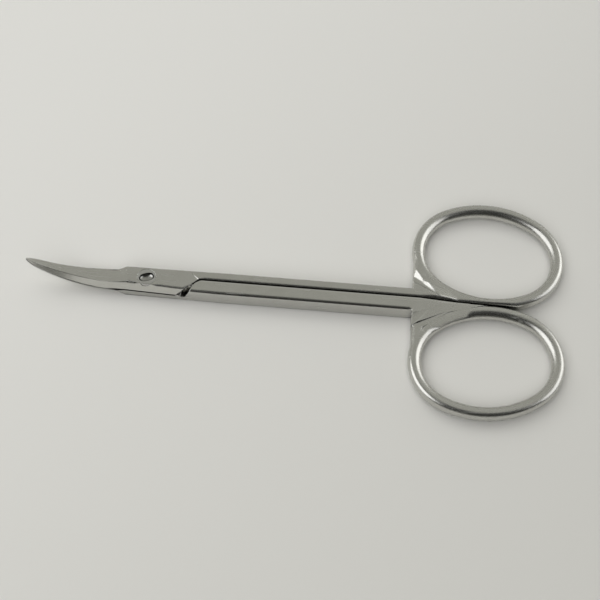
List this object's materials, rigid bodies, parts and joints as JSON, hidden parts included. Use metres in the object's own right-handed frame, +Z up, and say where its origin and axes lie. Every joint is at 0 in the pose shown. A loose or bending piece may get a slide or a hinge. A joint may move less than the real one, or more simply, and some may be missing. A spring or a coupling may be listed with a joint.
{
  "type": "cuticle scissors",
  "caption": "Curved-tip cuticle scissors: slim blades swept up to a fine point, straight bar shanks side by side, oval finger rings and a slotted flush pivot screw.",
  "frame": {"origin": "on the pivot axis, in the plane of the flat undersides that the closed scissors lie on", "axes": "+X from the pivot along the shanks to the finger rings, the blade tips at -X; +Y towards the upper half's ring; +Z up along the pivot axis, the way the tips curve"},
  "size_m": [0.0887, 0.0404, 0.0064],
  "materials": {
    "upper_half": "polished stainless steel",
    "lower_half": "polished stainless steel",
    "pivot_screw": "turned stainless steel, ground flush"
  },
  "bodies": {
    "lower": {"lower_half": "lower_half", "pivot_screw": "pivot_screw"},
    "upper": {"upper_half": "upper_half"}
  },
  "joints": [
    {"name": "blade_pivot", "type": "hinge", "parent": "lower", "child": "upper", "pos_m": [0, 0, 0], "axis": [0, 0, 1], "range_deg": [0, 140]}
  ]
}
